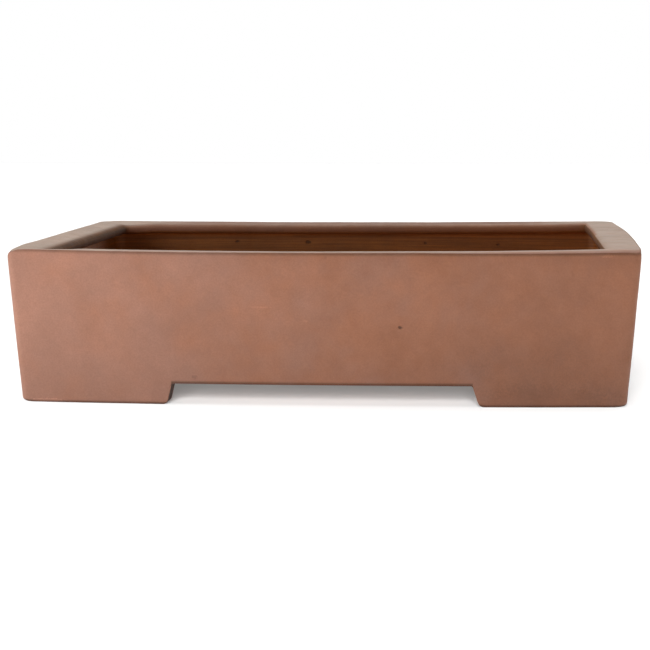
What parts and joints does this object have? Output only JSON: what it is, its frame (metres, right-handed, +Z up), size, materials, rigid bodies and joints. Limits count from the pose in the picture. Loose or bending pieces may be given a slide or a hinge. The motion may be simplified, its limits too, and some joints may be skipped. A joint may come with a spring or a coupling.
{
  "type": "bonsai pot",
  "caption": "Rectangular unglazed stoneware bonsai pot with bowed leaning walls, an inturned rim and flush corner feet.",
  "frame": {"origin": "centre of the pot's footprint, on the surface that the feet stand on", "axes": "+X along the long walls to the pot's right seen from the front, +Y from the front wall to the back wall, +Z up"},
  "size_m": [0.4288, 0.3398, 0.105],
  "materials": {
    "body_clay": "unglazed fired red-brown stoneware, fine grained, mottled, matt",
    "rim_clay": "the same unglazed stoneware, rubbed smooth on its flat top, paler and greyer"
  },
  "bodies": {
    "root": {"floor_slab": "body_clay", "front_wall": "body_clay", "back_wall": "body_clay", "left_wall": "body_clay", "right_wall": "body_clay", "front_rim": "rim_clay", "back_rim": "rim_clay", "left_rim": "rim_clay", "right_rim": "rim_clay", "front_left_foot": "body_clay", "front_right_foot": "body_clay", "back_left_foot": "body_clay", "back_right_foot": "body_clay"}
  },
  "joints": []
}
